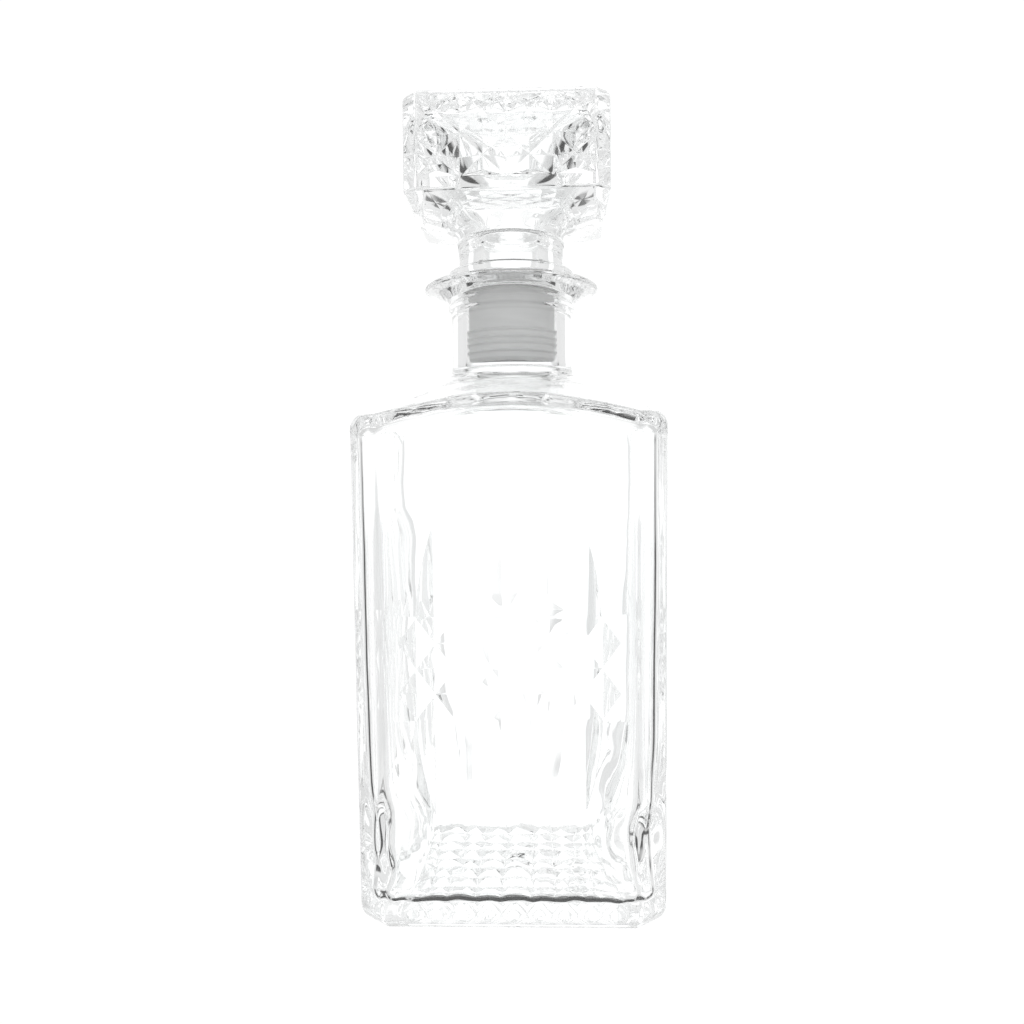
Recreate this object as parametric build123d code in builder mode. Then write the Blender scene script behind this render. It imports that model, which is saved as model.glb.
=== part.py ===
# Square cut crystal decanter with a hollow square glass stopper and a ribbed
# plastic stopper sleeve. Millimetres, +Z up, origin at the middle of the flat
# base, flat faces of the body square to X and Y.
from build123d import *
import math
import os

os.makedirs("parts", exist_ok=True)

# ---------------------------------------------------------------- dimensions
# body
base_half = 45.4            # half width across the flats at the base
draft = 0.59                # wall draft, widening upward, degrees
corner_cut = 7.8            # cut corner, measured along each flat
corner_soft = 5.6           # softening of the cut corner's two edges
shoulder_r0, shoulder_z0 = 60.0, 150.8   # a point on the shoulder cone
shoulder_slope = 21.5       # degrees below horizontal, going outward
shoulder_edge = 5.0         # rounding where the walls turn into the shoulder
heel = 5.4                  # rounding at the base
floor_z = 7.0               # top of the glass floor
wall_base, wall_top = 4.8, 3.9           # wall thickness at base and shoulder
roof_drop = 4.6             # shoulder thickness, measured vertically
inner_corner = 8.0          # inside vertical corners
inner_floor = 5.0           # inside rounding at the floor
inner_roof = 3.0            # inside rounding under the shoulder

# neck and mouth
neck_r = 20.0
bore_r = 15.0
bead_z, bead_r, bead_out = 189.1, 1.3, 21.05
flange_r = 28.7
flange_low, flange_top = 194.7, 196.9    # underside and top at the rim
neck_split = 161.0          # the one bottle is kept as two solids that meet here

# cut band on every face
pitch = 5.37                # column pitch
land = 0.12                 # half of the plain land left between two cuts
band_z = 77.4               # middle of the band
half_dia = 7.3              # half height of one diamond
cut_depth = 1.7
lance_side = 7.3            # lancet, point to widest place
lance_tip = 28.4            # lancet, widest place to far tip
lance_depth = 1.8

# star-cut underside
star_pitch = 7.74
star_count = 9
star_depth = 2.6

# stopper
foot_low, foot_top, foot_r = 198.05, 201.4, 20.85
throat_r = 17.4
head_half = 31.85
head_cut = 4.2
head_top = 250.7
head_bevel = 2.4
shank_r, shank_bore = 12.6, 9.2
shank_low = 171.7
head_hollow_half = 27.4
bell_low = 212.6             # where the shank's bore opens into the bell
head_hollow_top = 244.9
dia_w, dia_h = 14.0, 13.2   # stopper diamonds, full width and height
dia_row = 236.5             # a row of full diamonds
dia_depth = 1.7

# plastic sleeve
sleeve_r = 14.1
rib_r = 14.95
sleeve_in = 12.65
sleeve_low = 170.6
sleeve_top = 196.95
collar_r, collar_top = 18.2, 198.0
lip_r = 10.6
rib_z = [173.8, 176.3, 178.2, 180.5]

tan_d = math.tan(math.radians(draft))
cone_k = math.tan(math.radians(shoulder_slope))


def half_at(z):
    """Outside half width of the body at height z."""
    return base_half + z * tan_d


def cone_z(r):
    """Height of the shoulder cone at radius r."""
    return shoulder_z0 + (shoulder_r0 - r) * cone_k


def cut_square(half, cut):
    """Corner points of a square whose corners are cut at 45 degrees."""
    a, b = half, half - cut
    return [(a, -b), (a, b), (b, a), (-b, a), (-a, b), (-a, -b), (-b, -a), (b, -a)]


# ------------------------------------------------------------ cutting shapes
# Each cut is a shallow pyramid standing on the wall, point inward.
def pit(plane, outline, apex, depth):
    with BuildPart() as one:
        with BuildSketch(plane) as s:
            Polygon(*outline, align=None)
        point = plane.from_local_coords(Vector(apex[0], apex[1], -depth))
        loft(sections=[s.sketch.face(), Vertex(point.X, point.Y, point.Z)], ruled=True)
    return one.part


def diamond(cx, cy, a, b):
    return [(cx, cy - b), (cx + a, cy), (cx, cy + b), (cx - a, cy)]


body_cuts = []
for turn in range(4):
    ang = math.radians(90 * turn)
    out = Vector(math.sin(ang), -math.cos(ang), 0)
    cd, sd = math.cos(math.radians(draft)), math.sin(math.radians(draft))
    wall = Plane(
        origin=(out.X * half_at(band_z), out.Y * half_at(band_z), band_z),
        x_dir=(math.cos(ang), math.sin(ang), 0),
        z_dir=(out.X * cd, out.Y * cd, -sd),
    )
    a, b = pitch - land, half_dia - 1.35 * land
    for k in range(-5, 6):
        x = k * pitch
        if k % 2:
            for y in (-half_dia, half_dia):
                body_cuts.append(pit(wall, diamond(x, y, a, b), (x, y), cut_depth))
        else:
            body_cuts.append(pit(wall, diamond(x, 0, a, b), (x, 0), cut_depth))
            for s in (-1, 1):
                low = half_dia + 1.35 * land
                side = half_dia + lance_side
                tip = side + lance_tip
                pts = [(x, s * low), (x + s * a, s * side), (x, s * tip), (x - s * a, s * side)]
                body_cuts.append(pit(wall, pts, (x, s * side), lance_depth))

under = Plane(origin=(0, 0, 0), x_dir=(1, 0, 0), z_dir=(0, 0, -1))
sh = star_pitch / 2 - 0.15
for i in range(star_count):
    for j in range(star_count):
        x = (i - (star_count - 1) / 2) * star_pitch
        y = (j - (star_count - 1) / 2) * star_pitch
        pts = [(x - sh, y - sh), (x + sh, y - sh), (x + sh, y + sh), (x - sh, y + sh)]
        body_cuts.append(pit(under, pts, (x, y), star_depth))

# --------------------------------------------------------------- body hollow
with BuildPart() as hollow:
    roof_in = 178.0
    with BuildSketch(Plane.XY.offset(floor_z)):
        h = half_at(floor_z) - wall_base
        RectangleRounded(2 * h, 2 * h, inner_corner)
    with BuildSketch(Plane.XY.offset(roof_in)):
        h = half_at(roof_in) - wall_top
        RectangleRounded(2 * h, 2 * h, inner_corner)
    loft(ruled=True)
    with BuildSketch(Plane.XZ):
        with BuildLine():
            Polyline(
                (0, 0),
                (90, 0),
                (90, cone_z(90) - roof_drop),
                (bore_r + 3.5, cone_z(bore_r + 3.5) - roof_drop),
                (0, cone_z(bore_r + 3.5) - roof_drop),
                close=True,
            )
        make_face()
    revolve(axis=Axis.Z, mode=Mode.INTERSECT)
    fillet(hollow.faces().sort_by(Axis.Z)[0].edges(), radius=inner_floor)

# -------------------------------------------------------------- glass bottle
with BuildPart() as bottle:
    top = 203.0
    for z in (0.0, top):
        with BuildSketch(Plane.XY.offset(z)) as outline:
            Polygon(*cut_square(half_at(z), corner_cut), align=None)
            fillet(outline.vertices(), radius=corner_soft)
    loft(ruled=True)
    # shoulder, neck, bead and mouth flange, turned about the axis
    with BuildSketch(Plane.XZ) as turned:
        with BuildLine() as contour:
            Polyline(
                (0, -1),
                (90, -1),
                (90, cone_z(90)),
                (neck_r, cone_z(neck_r)),
                (neck_r, bead_z + 1.4),
                (neck_r + 1.6, bead_z + 2.6),
                (flange_r - 3.6, flange_low - 0.75),
                (flange_r - 0.5, flange_low),
                (flange_r, flange_low + 0.6),
                (flange_r, flange_low + 1.1),
                (flange_r - 0.7, flange_top - 0.35),
                (flange_r - 2.4, flange_top),
                (0, flange_top),
                close=True,
            )
        make_face()
        near = turned.vertices().sort_by_distance((neck_r, 0, cone_z(neck_r)))[0]
        fillet(near, radius=6.0)
    revolve(axis=Axis.Z, mode=Mode.INTERSECT)
    # soft edge all round the shoulder, then the heel
    rim = bottle.edges().filter_by(
        lambda e: 143 < e.center().Z < 160 and abs(e.bounding_box().size.Z) < 8
        and max(abs(e.center().X), abs(e.center().Y)) > 40
    )
    fillet(rim, radius=shoulder_edge)
    fillet(bottle.faces().sort_by(Axis.Z)[0].outer_wire().edges(), radius=heel)
    # raised bead below the flange
    with BuildSketch(Plane.XZ):
        with Locations((bead_out - bead_r, bead_z)):
            Circle(bead_r)
    revolve(axis=Axis.Z)
    add(hollow.part, mode=Mode.SUBTRACT)
    # bore of the neck, with its soft lip and throat
    with BuildSketch(Plane.XY.offset(cone_z(bore_r + 3.5) - roof_drop - 4)):
        Circle(bore_r)
    extrude(amount=60, mode=Mode.SUBTRACT)
    add(body_cuts, mode=Mode.SUBTRACT)

# The glass is one piece. Its square body and its round neck are kept as two
# solids that share the flat ring at neck_split.
with BuildPart() as decanter_body:
    add(bottle.part)
    split(bisect_by=Plane.XY.offset(neck_split), keep=Keep.BOTTOM)

with BuildPart() as decanter_neck:
    add(bottle.part)
    split(bisect_by=Plane.XY.offset(neck_split), keep=Keep.TOP)

decanter_body.part.label = "decanter_body"
decanter_neck.part.label = "decanter_neck"

# ------------------------------------------------------------ glass stopper
# Hollow of the head: a round bell that opens out of the shank, inside a square.
with BuildPart() as bell:
    with BuildSketch(Plane.XY.offset(bell_low)):
        RectangleRounded(2 * head_hollow_half, 2 * head_hollow_half, 6.0)
    extrude(amount=head_hollow_top - bell_low)
    with BuildSketch(Plane.XZ):
        with BuildLine():
            Polyline((0, bell_low), (11.8, bell_low), (12.8, bell_low + 1.0), (12.8, 215.6))
            Spline(
                (12.8, 215.6), (15.3, 220.6), (20.2, 225.6), (26.9, 233.9), (30.6, 239.6), (35.0, 247.0),
                tangents=((0, 1), (0.55, 1)),
            )
            Polyline((35.0, 247.0), (38.5, 253.1), (0, 253.1), (0, bell_low))
        make_face()
    revolve(axis=Axis.Z, mode=Mode.INTERSECT)
    fillet(bell.faces().sort_by(Axis.Z)[-1].edges(), radius=1.6)

head_cuts = []
dw, dh = dia_w / 2 - 0.15, dia_h / 2 - 0.15
flat = head_half - head_cut - 0.3
rows = [(dia_row, 1), (dia_row + dia_h / 2, 0), (dia_row - dia_h / 2, 0)]
for turn in range(4):
    ang = math.radians(90 * turn)
    out = Vector(math.sin(ang), -math.cos(ang), 0)
    side = Plane(
        origin=(out.X * head_half, out.Y * head_half, dia_row),
        x_dir=(math.cos(ang), math.sin(ang), 0),
        z_dir=(out.X, out.Y, 0),
    )
    for z, odd in rows:
        y = z - dia_row
        xs = (-21, -7, 7, 21) if odd else (-14, 0, 14)
        for x in xs:
            w = min(dw, flat - abs(x))
            head_cuts.append(pit(side, diamond(x, y, w, dh), (x, y), dia_depth))
        if not odd:
            # half diamonds against the cut corners
            for s in (-1, 1):
                pts = [(s * flat, y - dh * (1 - (28 - flat) / dw)), (s * flat, y + dh * (1 - (28 - flat) / dw)),
                       (s * (28 - dw), y)]
                head_cuts.append(pit(side, pts, (s * (28 - dw * 0.45), y), dia_depth * 0.55))
    # half diamonds along the top edge (point down) and the bottom edge (point up)
    for x in (-21, -7, 7, 21):
        w = min(dw, flat - abs(x))
        y = head_top - head_bevel - 0.3 - dia_row
        lo = dia_h / 2 + 0.15
        head_cuts.append(pit(side, [(x, lo), (x + w * 0.8, y), (x - w * 0.8, y)], (x, lo + 0.62 * (y - lo)), 0.9))
        y = -dia_h + 0.3
        hi = -dia_h / 2 - 0.15
        head_cuts.append(pit(side, [(x, hi), (x - w * 0.92, y), (x + w * 0.92, y)], (x, y + 0.38 * (hi - y)), 1.1))

crown = Plane(origin=(0, 0, head_top), x_dir=(1, 0, 0), z_dir=(0, 0, 1))
for i in range(-3, 4):
    for j in range(-3, 4):
        if (i + j) % 2 == 0:
            head_cuts.append(pit(crown, diamond(7 * i, 7 * j, 6.85, 6.85), (7 * i, 7 * j), dia_depth))

with BuildPart() as stopper:
    with BuildSketch(Plane.XY.offset(foot_low - 2)):
        Polygon(*cut_square(head_half, head_cut), align=None)
    extrude(amount=head_top - foot_low + 2)
    chamfer(stopper.faces().sort_by(Axis.Z)[-1].edges(), length=head_bevel)
    # foot ring, throat and trumpet-shaped underside, turned about the axis
    with BuildSketch(Plane.XZ) as turned:
        with BuildLine():
            Polyline((0, foot_low), (foot_r - 0.6, foot_low), (foot_r, foot_low + 0.6),
                     (foot_r, foot_top - 1.2), (foot_r - 1.2, foot_top), (throat_r, foot_top + 0.6), (throat_r, 206.6))
            Spline((throat_r, 206.6), (18.3, 211.4), (21.3, 215.1), (26.0, 217.7), (31.85, 219.2), (38.0, 219.8), (46.0, 220.1),
                   tangents=((0, 1), (1, 0.03)))
            Polyline((46.0, 220.1), (46.0, 253.1), (0, 253.1), (0, foot_low))
        make_face()
    revolve(axis=Axis.Z, mode=Mode.INTERSECT)
    # shank that carries the sleeve
    with BuildSketch(Plane.XY.offset(shank_low)):
        Circle(shank_r)
    extrude(amount=foot_low + 1.0 - shank_low)
    chamfer(stopper.edges().filter_by(GeomType.CIRCLE).sort_by(Axis.Z)[0], length=0.6)
    with BuildSketch(Plane.XY.offset(shank_low - 1)):
        Circle(shank_bore)
    extrude(amount=bell_low + 0.1 - shank_low + 1, mode=Mode.SUBTRACT)
    add(bell.part, mode=Mode.SUBTRACT)
    add(head_cuts, mode=Mode.SUBTRACT)

stopper.part.label = "stopper"

# ---------------------------------------------------- ribbed plastic sleeve
with BuildPart() as stopper_seal:
    with BuildSketch(Plane.XZ):
        with BuildLine():
            pts = [(sleeve_in, shank_low - 0.15), (lip_r, shank_low - 0.15), (lip_r, sleeve_low),
                   (sleeve_r - 0.9, sleeve_low), (sleeve_r, sleeve_low + 1.1)]
            for z in rib_z:
                pts += [(sleeve_r, z - 0.55), (rib_r, z - 0.12), (rib_r, z + 0.12), (sleeve_r, z + 0.75)]
            pts += [(sleeve_r + 0.25, sleeve_top), (collar_r - 0.3, sleeve_top), (collar_r, sleeve_top + 0.3),
                    (collar_r, collar_top - 0.3), (collar_r - 0.3, collar_top), (sleeve_in, collar_top)]
            Polyline(*pts, close=True)
        make_face()
    revolve(axis=Axis.Z)

stopper_seal.part.label = "stopper_seal"

# ------------------------------------------------------------------- export
export_step(decanter_body.part, "parts/decanter_body.step")
export_step(decanter_neck.part, "parts/decanter_neck.step")
export_step(stopper.part, "parts/stopper.step")
export_step(stopper_seal.part, "parts/stopper_seal.step")
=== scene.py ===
# Cut crystal decanter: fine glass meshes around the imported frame.
# All shapes are worked out in millimetres and written to the meshes in metres.
import bpy
import math
import numpy as np
from mathutils import Vector, Matrix
from mathutils.geometry import delaunay_2d_cdt


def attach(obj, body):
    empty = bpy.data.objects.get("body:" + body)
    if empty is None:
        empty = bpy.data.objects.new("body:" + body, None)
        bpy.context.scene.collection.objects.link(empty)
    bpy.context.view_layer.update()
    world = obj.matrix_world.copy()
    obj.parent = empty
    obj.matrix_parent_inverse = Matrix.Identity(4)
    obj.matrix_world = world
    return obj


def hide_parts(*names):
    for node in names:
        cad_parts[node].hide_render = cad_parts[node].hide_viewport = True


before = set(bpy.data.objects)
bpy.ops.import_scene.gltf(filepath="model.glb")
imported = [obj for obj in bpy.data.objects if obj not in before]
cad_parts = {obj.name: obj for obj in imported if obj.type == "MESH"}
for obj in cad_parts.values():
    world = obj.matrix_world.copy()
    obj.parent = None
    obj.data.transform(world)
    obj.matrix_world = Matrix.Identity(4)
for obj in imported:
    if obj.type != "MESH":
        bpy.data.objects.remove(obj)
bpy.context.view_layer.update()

MM = 0.001
T22 = math.tan(math.radians(22.5))

# ------------------------------------------------------------------ helpers


def smin(a, b, w):
    """Smooth minimum that only acts where a and b are within w."""
    h = np.maximum(w - np.abs(a - b), 0.0) / w
    return np.minimum(a, b) - h * h * w * 0.25


def smax(a, b, w):
    return -smin(-a, -b, w)


def curve(points, n):
    """n + 1 points, evenly spaced by length, on a smooth curve through the given points."""
    p = np.array(points, float)
    q = np.vstack([2 * p[0] - p[1], p, 2 * p[-1] - p[-2]])
    out = []
    for i in range(1, len(q) - 2):
        p0, p1, p2, p3 = q[i - 1], q[i], q[i + 1], q[i + 2]
        # centripetal Catmull-Rom
        t0 = 0.0
        t1 = t0 + np.linalg.norm(p1 - p0) ** 0.5
        t2 = t1 + np.linalg.norm(p2 - p1) ** 0.5
        t3 = t2 + np.linalg.norm(p3 - p2) ** 0.5
        for t in np.linspace(t1, t2, 24, endpoint=False):
            a1 = (t1 - t) / (t1 - t0) * p0 + (t - t0) / (t1 - t0) * p1
            a2 = (t2 - t) / (t2 - t1) * p1 + (t - t1) / (t2 - t1) * p2
            a3 = (t3 - t) / (t3 - t2) * p2 + (t - t2) / (t3 - t2) * p3
            b1 = (t2 - t) / (t2 - t0) * a1 + (t - t0) / (t2 - t0) * a2
            b2 = (t3 - t) / (t3 - t1) * a2 + (t - t1) / (t3 - t1) * a3
            out.append((t2 - t) / (t2 - t1) * b1 + (t - t1) / (t2 - t1) * b2)
    out.append(p[-1])
    out = np.array(out)
    s = np.concatenate([[0], np.cumsum(np.linalg.norm(np.diff(out, axis=0), axis=1))])
    t = np.linspace(0, s[-1], n + 1)
    return np.column_stack([np.interp(t, s, out[:, k]) for k in range(out.shape[1])])


def rounded(points, radii, seg=6):
    """Polyline of (r, z) points with each inner corner rounded to its radius."""
    p = [np.array(q, float) for q in points]
    out = [p[0]]
    for i in range(1, len(p) - 1):
        r = radii[i]
        if r <= 0:
            out.append(p[i])
            continue
        a, b = p[i - 1] - p[i], p[i + 1] - p[i]
        la, lb = np.linalg.norm(a), np.linalg.norm(b)
        a, b = a / la, b / lb
        ang = math.acos(max(-1, min(1, float(a @ b))))
        t = min(r / math.tan(ang / 2), 0.49 * la, 0.49 * lb)
        r = t * math.tan(ang / 2)
        w = math.sin(ang / 2)
        A, B = p[i] + a * t, p[i] + b * t
        for k in range(seg + 1):
            s = k / seg
            n = (1 - s) ** 2 * A + 2 * s * (1 - s) * w * p[i] + s * s * B
            out.append(n / ((1 - s) ** 2 + 2 * s * (1 - s) * w + s * s))
    out.append(p[-1])
    return np.array(out)


def outline(h, cut, rc, nf, nr, nc):
    """Square of half width h, corners cut by `cut`, edges softened by rc. Counter-clockwise from the front face."""
    tl = rc * T22
    pf = h - cut - tl
    pts = []
    q = []
    for k in range(nf):
        q.append((-pf + 2 * pf * k / nf, -h))
    c1 = (pf, -h + rc)
    for k in range(nr):
        a = math.radians(-90 + 45 * k / nr)
        q.append((c1[0] + rc * math.cos(a), c1[1] + rc * math.sin(a)))
    a = math.radians(-45)
    A = np.array((c1[0] + rc * math.cos(a), c1[1] + rc * math.sin(a)))
    c2 = (h - rc, -pf)
    B = np.array((c2[0] + rc * math.cos(a), c2[1] + rc * math.sin(a)))
    for k in range(nc):
        q.append(tuple(A + (B - A) * k / nc))
    for k in range(nr):
        a = math.radians(-45 + 45 * k / nr)
        q.append((c2[0] + rc * math.cos(a), c2[1] + rc * math.sin(a)))
    q = np.array(q)
    for k in range(4):
        c, s = math.cos(math.pi / 2 * k), math.sin(math.pi / 2 * k)
        pts.append(q @ np.array([[c, s], [-s, c]]))
    return np.vstack(pts)


class Shell:
    """A growing closed mesh, in millimetres."""

    def __init__(self):
        self.v, self.f, self.n, self.count, self.tag = [], [], {}, 0, []

    def add(self, pts, tag=0):
        pts = np.asarray(pts, float).reshape(-1, 3)
        i0 = self.count
        self.v.append(pts)
        self.count += len(pts)
        self.tag.append(np.full(len(pts), tag))
        return np.arange(i0, i0 + len(pts))

    def strip(self, a, b, skip=None):
        """Quads between two closed loops of indices; a is below or inside b, seen from outside left to right."""
        n = len(a)
        for i in range(n):
            if skip is not None and skip[i]:
                continue
            j = (i + 1) % n
            self.f.append((a[i], a[j], b[j], b[i]))

    def fan(self, centre, loop, flip=False):
        n = len(loop)
        for i in range(n):
            j = (i + 1) % n
            self.f.append((centre, loop[j], loop[i]) if flip else (centre, loop[i], loop[j]))

    def points(self):
        return np.vstack(self.v)

    def build(self, name, displace=None):
        v = self.points()
        tag = np.concatenate(self.tag)
        me = bpy.data.meshes.new(name)
        me.from_pydata([tuple(p) for p in v * MM], [], [tuple(int(i) for i in q) for q in self.f])
        me.validate()
        me.update()
        if displace is not None:
            nv = np.zeros(len(v) * 3)
            me.vertex_normals.foreach_get("vector", nv)
            nv = nv.reshape(-1, 3)
            v = v + nv * displace(v, tag)[:, None]
            me.vertices.foreach_set("co", (v * MM).ravel())
            me.update()
        me.polygons.foreach_set("use_smooth", [True] * len(me.polygons))
        nv = np.zeros(len(v) * 3)
        me.vertex_normals.foreach_get("vector", nv)
        nv = nv.reshape(-1, 3)
        for i, n in self.n.items():
            nv[i] = n
        me.normals_split_custom_set_from_vertices([tuple(n) for n in nv])
        me.update()
        ob = bpy.data.objects.new(name, me)
        bpy.context.scene.collection.objects.link(ob)
        return ob


class Cuts:
    """A pattern of shallow sunken cuts on a flat panel: depth as a smooth function, and the lines its mesh needs."""

    def __init__(self, soft=0.10):
        self.pits, self.soft = [], soft

    def pit(self, pts, apex, depth):
        """Convex outline (counter-clockwise) with one apex."""
        p = np.array(pts, float)
        edges = []
        for i in range(len(p)):
            a, b = p[i], p[(i + 1) % len(p)]
            t = (b - a) / np.linalg.norm(b - a)
            n = np.array((-t[1], t[0]))
            c = float(n @ a)
            k = depth / (float(n @ np.array(apex)) - c)
            edges.append((n, c, k))
        self.pits.append(("poly", p, np.array(apex, float), depth, edges))

    def lance(self, cx, y0, s, a, side, tip, depth, power=1.7):
        """Long V-cut: a blunt pointed end at y0, widest `side` further along s, drawn out to a fine tip."""
        self.pits.append(("lance", cx, y0, s, a, side, tip, depth, power))

    @staticmethod
    def _lance_w(v, a, side, tip, power):
        t = np.clip((v - side) / tip, 0, 1.5)
        up = a * (1 - t ** power)
        low = a * v / side
        return smin(low, up, 0.35)

    def depth(self, q):
        q = np.asarray(q, float)
        d = np.zeros(len(q))
        for pit in self.pits:
            if pit[0] == "poly":
                _, p, apex, depth, edges = pit
                lo, hi = p.min(0) - 1.0, p.max(0) + 1.0
                m = np.all((q > lo) & (q < hi), axis=1)
                if not m.any():
                    continue
                x = q[m]
                g = None
                for n, c, k in edges:
                    e = (x @ n - c) * k
                    g = e if g is None else smin(g, e, self.soft * 1.6)
                d[m] = smax(d[m], g, self.soft)
            else:
                _, cx, y0, s, a, side, tip, depth, power = pit
                v = (q[:, 1] - y0) * s
                u = q[:, 0] - cx
                m = (v > -1.0) & (v < side + tip + 1.0) & (np.abs(u) < a + 1.0)
                if not m.any():
                    continue
                w = self._lance_w(v[m], a, side, tip, power)
                k = depth / a
                au = smax(u[m], -u[m], 0.3)
                g = (w - au) * k
                g = np.where(v[m] > side + tip, -1.0, g)
                d[m] = smax(d[m], g, self.soft)
        # nothing below zero, and no soft offset on the plain land
        return np.maximum(d - self.soft * 0.25, 0.0)

    def lines(self):
        """Segments the mesh has to follow."""
        seg = []
        for pit in self.pits:
            if pit[0] == "poly":
                _, p, apex, depth, edges = pit
                k = np.mean([e[2] for e in edges])
                off = self.soft / k
                for o in (0.0, off, -off):
                    r = inset(p, o)
                    if r is None:
                        continue
                    seg += [(r[i], r[(i + 1) % len(r)]) for i in range(len(r))]
                # valleys from the corners to the apex, as narrow ribbons
                for c in p:
                    t = apex - c
                    t = t / np.linalg.norm(t)
                    nrm = np.array((-t[1], t[0])) * off * 0.9
                    a0 = c + t * off * 1.2
                    a1 = apex - t * off * 0.6
                    seg.append((a0, a1))
                    seg.append((a0 + nrm, a1 + nrm))
                    seg.append((a0 - nrm, a1 - nrm))
            else:
                _, cx, y0, s, a, side, tip, depth, power = pit
                vs = np.concatenate([np.linspace(0, side - 0.5, 4), [side - 0.2, side, side + 0.2],
                                     side + np.linspace(0.5, tip, 12)])
                k = depth / a
                off = self.soft / k
                w = self._lance_w(vs, a, side, tip, power)
                for sgn in (-1, 1):
                    for o in (0.0, off):
                        ww = np.maximum(w - o, 0.0)
                        pts = np.column_stack([cx + sgn * ww, y0 + s * vs])
                        seg += [(pts[i], pts[i + 1]) for i in range(len(pts) - 1) if ww[i] > 0 or ww[i + 1] > 0]
                    # across the widest place
                    seg.append((np.array((cx, y0 + s * side)), np.array((cx + sgn * a, y0 + s * side))))
                    pts = np.column_stack([cx + sgn * np.minimum(0.3, w), y0 + s * vs])
                    seg += [(pts[i], pts[i + 1]) for i in range(len(pts) - 1)]
                pts = np.column_stack([np.full(len(vs), cx), y0 + s * vs])
                seg += [(pts[i], pts[i + 1]) for i in range(len(pts) - 1)]
        return seg


def inset(p, o):
    """Polygon moved inward by o (outward if negative), or None where it would vanish."""
    if abs(o) < 1e-9:
        return p
    n = len(p)
    out = []
    for i in range(n):
        a, b, c = p[i - 1], p[i], p[(i + 1) % n]
        t0, t1 = (b - a) / np.linalg.norm(b - a), (c - b) / np.linalg.norm(c - b)
        n0, n1 = np.array((-t0[1], t0[0])), np.array((-t1[1], t1[0]))
        m = n0 + n1
        m = m / np.linalg.norm(m)
        s = o / max(0.35, float(m @ n0))
        out.append(b + m * s)
    out = np.array(out)
    c0 = p.mean(0)
    if o > 0 and np.min(np.linalg.norm(out - c0, axis=1)) > np.max(np.linalg.norm(p - c0, axis=1)):
        return None
    return out


def patch(shell, loop, loop_uv, cuts, place, extra=(), flip=False, normals=True, tag=0):
    """Fill a flat panel inside a closed loop of existing vertices with a mesh that follows the cuts.
    place(uv, depth) gives the points in space; loop_uv is counter-clockwise as seen from outside."""
    loop_uv = np.asarray(loop_uv, float)
    co = [Vector((float(a), float(b))) for a, b in loop_uv]
    n = len(co)
    ed = [(i, (i + 1) % n) for i in range(n)]
    lo, hi = loop_uv.min(0), loop_uv.max(0)
    centre = loop_uv.mean(0)
    for a, b in list(cuts.lines()) + list(extra):
        i = len(co)
        co.append(Vector((float(a[0]), float(a[1]))))
        co.append(Vector((float(b[0]), float(b[1]))))
        ed.append((i, i + 1))
    rv, re, rf, ov, oe, of = delaunay_2d_cdt(co, ed, [], 0, 1e-4, True)
    pts = np.array([(v.x, v.y) for v in rv])
    # which result vertices are the loop's own
    index = {}
    for k, origs in enumerate(ov):
        for o in origs:
            if o < n:
                index[k] = loop[o]
    used = {}
    poly = loop_uv

    tri = np.array([list(f[:3]) for f in rf])
    A, B, D = pts[tri[:, 0]], pts[tri[:, 1]], pts[tri[:, 2]]
    area = np.abs((B[:, 0] - A[:, 0]) * (D[:, 1] - A[:, 1]) - (B[:, 1] - A[:, 1]) * (D[:, 0] - A[:, 0]))
    mid = (A + B + D) / 3
    odd = np.zeros(len(tri), bool)
    for i in range(len(poly)):
        (x0, y0), (x1, y1) = poly[i - 1], poly[i]
        if y0 == y1:
            continue
        hit = ((y0 > mid[:, 1]) != (y1 > mid[:, 1])) & (mid[:, 0] < (x1 - x0) * (mid[:, 1] - y0) / (y1 - y0) + x0)
        odd ^= hit
    faces = [tuple(int(i) for i in f) for f in tri[odd & (area > 1e-7)]]
    need = sorted({i for f in faces for i in f if i not in index})
    dep = cuts.depth(pts)
    if need:
        new = shell.add(place(pts[need], dep[need]), tag)
        for k, g in zip(need, new):
            index[k] = g
    for f in faces:
        g = [index[i] for i in f]
        a, b, d = pts[f[0]], pts[f[1]], pts[f[2]]
        ccw = (b[0] - a[0]) * (d[1] - a[1]) - (b[1] - a[1]) * (d[0] - a[0]) > 0
        shell.f.append(tuple(g) if ccw else tuple(reversed(g)))
    if normals and need:
        e = 0.004
        q = pts[need]
        gx = (cuts.depth(q + (e, 0)) - cuts.depth(q - (e, 0))) / (2 * e)
        gy = (cuts.depth(q + (0, e)) - cuts.depth(q - (0, e))) / (2 * e)
        o = place(q, dep[need])
        px = place(q + (1.0, 0), dep[need]) - o
        py = place(q + (0, 1.0), dep[need]) - o
        nz = np.cross(px, py)
        nz /= np.linalg.norm(nz, axis=1)[:, None]
        nn = nz + px * gx[:, None] + py * gy[:, None]
        nn /= np.linalg.norm(nn, axis=1)[:, None]
        for k, v in zip(need, nn):
            shell.n[int(index[k])] = v
        # the panel's border lies in the plain wall
        o = place(loop_uv, np.zeros(n))
        nz = np.cross(place(loop_uv + (1.0, 0), np.zeros(n)) - o, place(loop_uv + (0, 1.0), np.zeros(n)) - o)
        nz /= np.linalg.norm(nz, axis=1)[:, None]
        for g, v in zip(loop, nz):
            shell.n[int(g)] = v
    return len(faces)


# --------------------------------------------------------------- dimensions
base_half, draft = 45.398, 0.59
corner_cut, corner_soft = 7.8, 3.2
tan_d = math.tan(math.radians(draft))
shoulder_r0, shoulder_z0, shoulder_slope = 60.0, 150.8, 21.5
cone_k = math.tan(math.radians(shoulder_slope))
shoulder_edge, heel = 5.0, 6.4
floor_z, wall_base, wall_top, roof_drop = 7.0, 4.8, 3.9, 4.6
pitch, band_z, half_dia = 5.37, 77.4, 7.3


def half_at(z):
    return base_half + z * tan_d


def cone_z(r):
    return shoulder_z0 + (shoulder_r0 - r) * cone_k


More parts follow.
